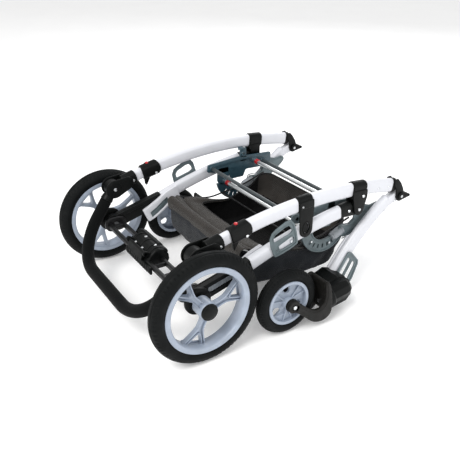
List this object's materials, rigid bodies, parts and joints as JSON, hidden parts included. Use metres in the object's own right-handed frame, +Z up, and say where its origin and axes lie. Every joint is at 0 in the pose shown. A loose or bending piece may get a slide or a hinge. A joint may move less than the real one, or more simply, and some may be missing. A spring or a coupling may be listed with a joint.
{
  "type": "pet stroller",
  "caption": "Folded pet stroller chassis with bent oval side tubes, large rear wheels, swivel front wheels, telescopic push handle and cloth basket.",
  "frame": {"origin": "on the ground below the middle of the folded chassis", "axes": "+X to the right-hand side, +Y forward from the push handle to the front hinges, +Z up; stored folded with all four wheels on the ground"},
  "size_m": [0.68, 0.8099, 0.3262],
  "materials": {
    "white_paint": "gloss",
    "black_plastic": "satin",
    "black_beam": "satin",
    "tyre_rubber": "matte",
    "rim_plastic": "satin",
    "steel": "satin",
    "chrome": "polished",
    "bar_paint": "satin",
    "bracket_plastic": "satin",
    "grey_plastic": "satin",
    "red_plastic": "gloss",
    "cloth": "matte",
    "foam": "matte"
  },
  "bodies": {
    "rear_axle": {"axle_beam": "black_beam", "stub_axles": "steel", "brake_housing": "black_plastic", "wheel_drums": "black_plastic"},
    "brake_pedal": {"brake_pedal": "black_plastic"},
    "rear_legs": {"rear_leg_left": "white_paint", "rear_leg_right": "white_paint", "leg_foot_left": "black_plastic", "leg_foot_right": "black_plastic", "foot_springs": "grey_plastic", "leg_top_fittings": "black_plastic", "rear_carry_brackets": "bracket_plastic", "basket": "cloth", "basket_wires": "steel"},
    "upper_frame": {"upper_tube_left": "white_paint", "upper_tube_right": "white_paint", "tube_collars": "black_plastic", "latch_plate_left": "black_plastic", "latch_plate_right": "black_plastic", "pivot_straps": "black_plastic", "hinge_cap_left": "black_plastic", "hinge_cap_right": "black_plastic", "pivot_pins": "steel", "seat_bracket_left": "bracket_plastic", "seat_bracket_right": "bracket_plastic", "chrome_bars": "chrome", "dark_bars": "bar_paint", "bar_sleeves": "red_plastic", "lock_arms": "bracket_plastic", "lock_plungers": "grey_plastic"},
    "handle_slide": {"telescopic_tube_left": "white_paint", "telescopic_tube_right": "white_paint", "handle_knuckle_left": "black_plastic", "handle_knuckle_right": "black_plastic"},
    "handle": {"handle_bar": "black_beam", "handle_grip": "foam"},
    "front_legs": {"front_leg_left": "white_paint", "front_leg_right": "white_paint", "front_carry_brackets": "bracket_plastic", "swivel_housing_left": "black_plastic", "swivel_housing_right": "black_plastic", "swivel_pins": "steel"},
    "rear_wheel_left": {"rear_tyre_left": "tyre_rubber", "rear_rim_left": "rim_plastic", "hub_cap_left": "black_plastic"},
    "release_button_left": {"release_button_left": "red_plastic"},
    "fold_lever_left": {"fold_lever_left": "black_plastic"},
    "fork_left": {"fork_left": "black_plastic", "front_axle_left": "steel"},
    "front_wheel_left": {"front_tyre_left": "tyre_rubber", "front_rim_left": "rim_plastic"},
    "rear_wheel_right": {"rear_tyre_right": "tyre_rubber", "rear_rim_right": "rim_plastic", "hub_cap_right": "black_plastic"},
    "release_button_right": {"release_button_right": "red_plastic"},
    "fold_lever_right": {"fold_lever_right": "black_plastic"},
    "fork_right": {"fork_right": "black_plastic", "front_axle_right": "steel"},
    "front_wheel_right": {"front_tyre_right": "tyre_rubber", "front_rim_right": "rim_plastic"}
  },
  "joints": [
    {"name": "frame_fold", "type": "hinge", "parent": "rear_axle", "child": "rear_legs", "pos_m": [0, -0.265, 0.14], "axis": [1, 0, 0], "range_deg": [0, 46.3]},
    {"name": "upper_fold", "type": "hinge", "parent": "rear_legs", "child": "upper_frame", "pos_m": [0, 0.223, 0.248], "axis": [1, 0, 0], "range_deg": [-66.3, 0]},
    {"name": "front_fold", "type": "hinge", "parent": "upper_frame", "child": "front_legs", "pos_m": [0, 0.373, 0.252], "axis": [1, 0, 0], "range_deg": [0, 101.9]},
    {"name": "brake_press", "type": "hinge", "parent": "rear_axle", "child": "brake_pedal", "pos_m": [0, -0.289, 0.165], "axis": [1, 0, 0], "range_deg": [-18, 0]},
    {"name": "handle_extend", "type": "hinge", "parent": "upper_frame", "child": "handle_slide", "pos_m": [0, 0.125, -0.915], "axis": [1, 0, 0], "range_deg": [0, 5.6]},
    {"name": "handle_swing", "type": "hinge", "parent": "handle_slide", "child": "handle", "pos_m": [0, -0.257, 0.244], "axis": [1, 0, 0], "range_deg": [-100, 0]},
    {"name": "rear_spin_left", "type": "hinge", "parent": "rear_axle", "child": "rear_wheel_left", "pos_m": [-0.2925, -0.265, 0.14], "axis": [1, 0, 0], "continuous": true},
    {"name": "button_press_left", "type": "slide", "parent": "upper_frame", "child": "release_button_left", "axis": [0, 0, -1], "range_m": [0, 0.002], "stiffness_N_per_m": 400},
    {"name": "lever_turn_left", "type": "hinge", "parent": "upper_frame", "child": "fold_lever_left", "pos_m": [-0.237, 0.373, 0.252], "axis": [1, 0, 0], "range_deg": [0, 25], "stiffness_Nm_per_rad": 0.2},
    {"name": "swivel_left", "type": "hinge", "parent": "front_legs", "child": "fork_left", "pos_m": [-0.301, -0.03504, 0.03649], "axis": [0, 0.9903, 0.1392], "range_deg": [-180, 15]},
    {"name": "front_spin_left", "type": "hinge", "parent": "fork_left", "child": "front_wheel_left", "pos_m": [-0.301, -0.042, 0.086], "axis": [1, 0, 0], "continuous": true},
    {"name": "rear_spin_right", "type": "hinge", "parent": "rear_axle", "child": "rear_wheel_right", "pos_m": [0.2925, -0.265, 0.14], "axis": [1, 0, 0], "continuous": true},
    {"name": "button_press_right", "type": "slide", "parent": "upper_frame", "child": "release_button_right", "axis": [0, 0, -1], "range_m": [0, 0.002], "stiffness_N_per_m": 400},
    {"name": "lever_turn_right", "type": "hinge", "parent": "upper_frame", "child": "fold_lever_right", "pos_m": [0.237, 0.373, 0.252], "axis": [1, 0, 0], "range_deg": [0, 25], "stiffness_Nm_per_rad": 0.2},
    {"name": "swivel_right", "type": "hinge", "parent": "front_legs", "child": "fork_right", "pos_m": [0.301, -0.03504, 0.03649], "axis": [0, 0.9903, 0.1392], "range_deg": [-15, 180]},
    {"name": "front_spin_right", "type": "hinge", "parent": "fork_right", "child": "front_wheel_right", "pos_m": [0.301, -0.042, 0.086], "axis": [1, 0, 0], "continuous": true}
  ],
  "couplings": [
    {"joint": "upper_fold", "follows": "frame_fold", "ratio": -1.43},
    {"joint": "front_fold", "follows": "frame_fold", "ratio": 2.2}
  ]
}
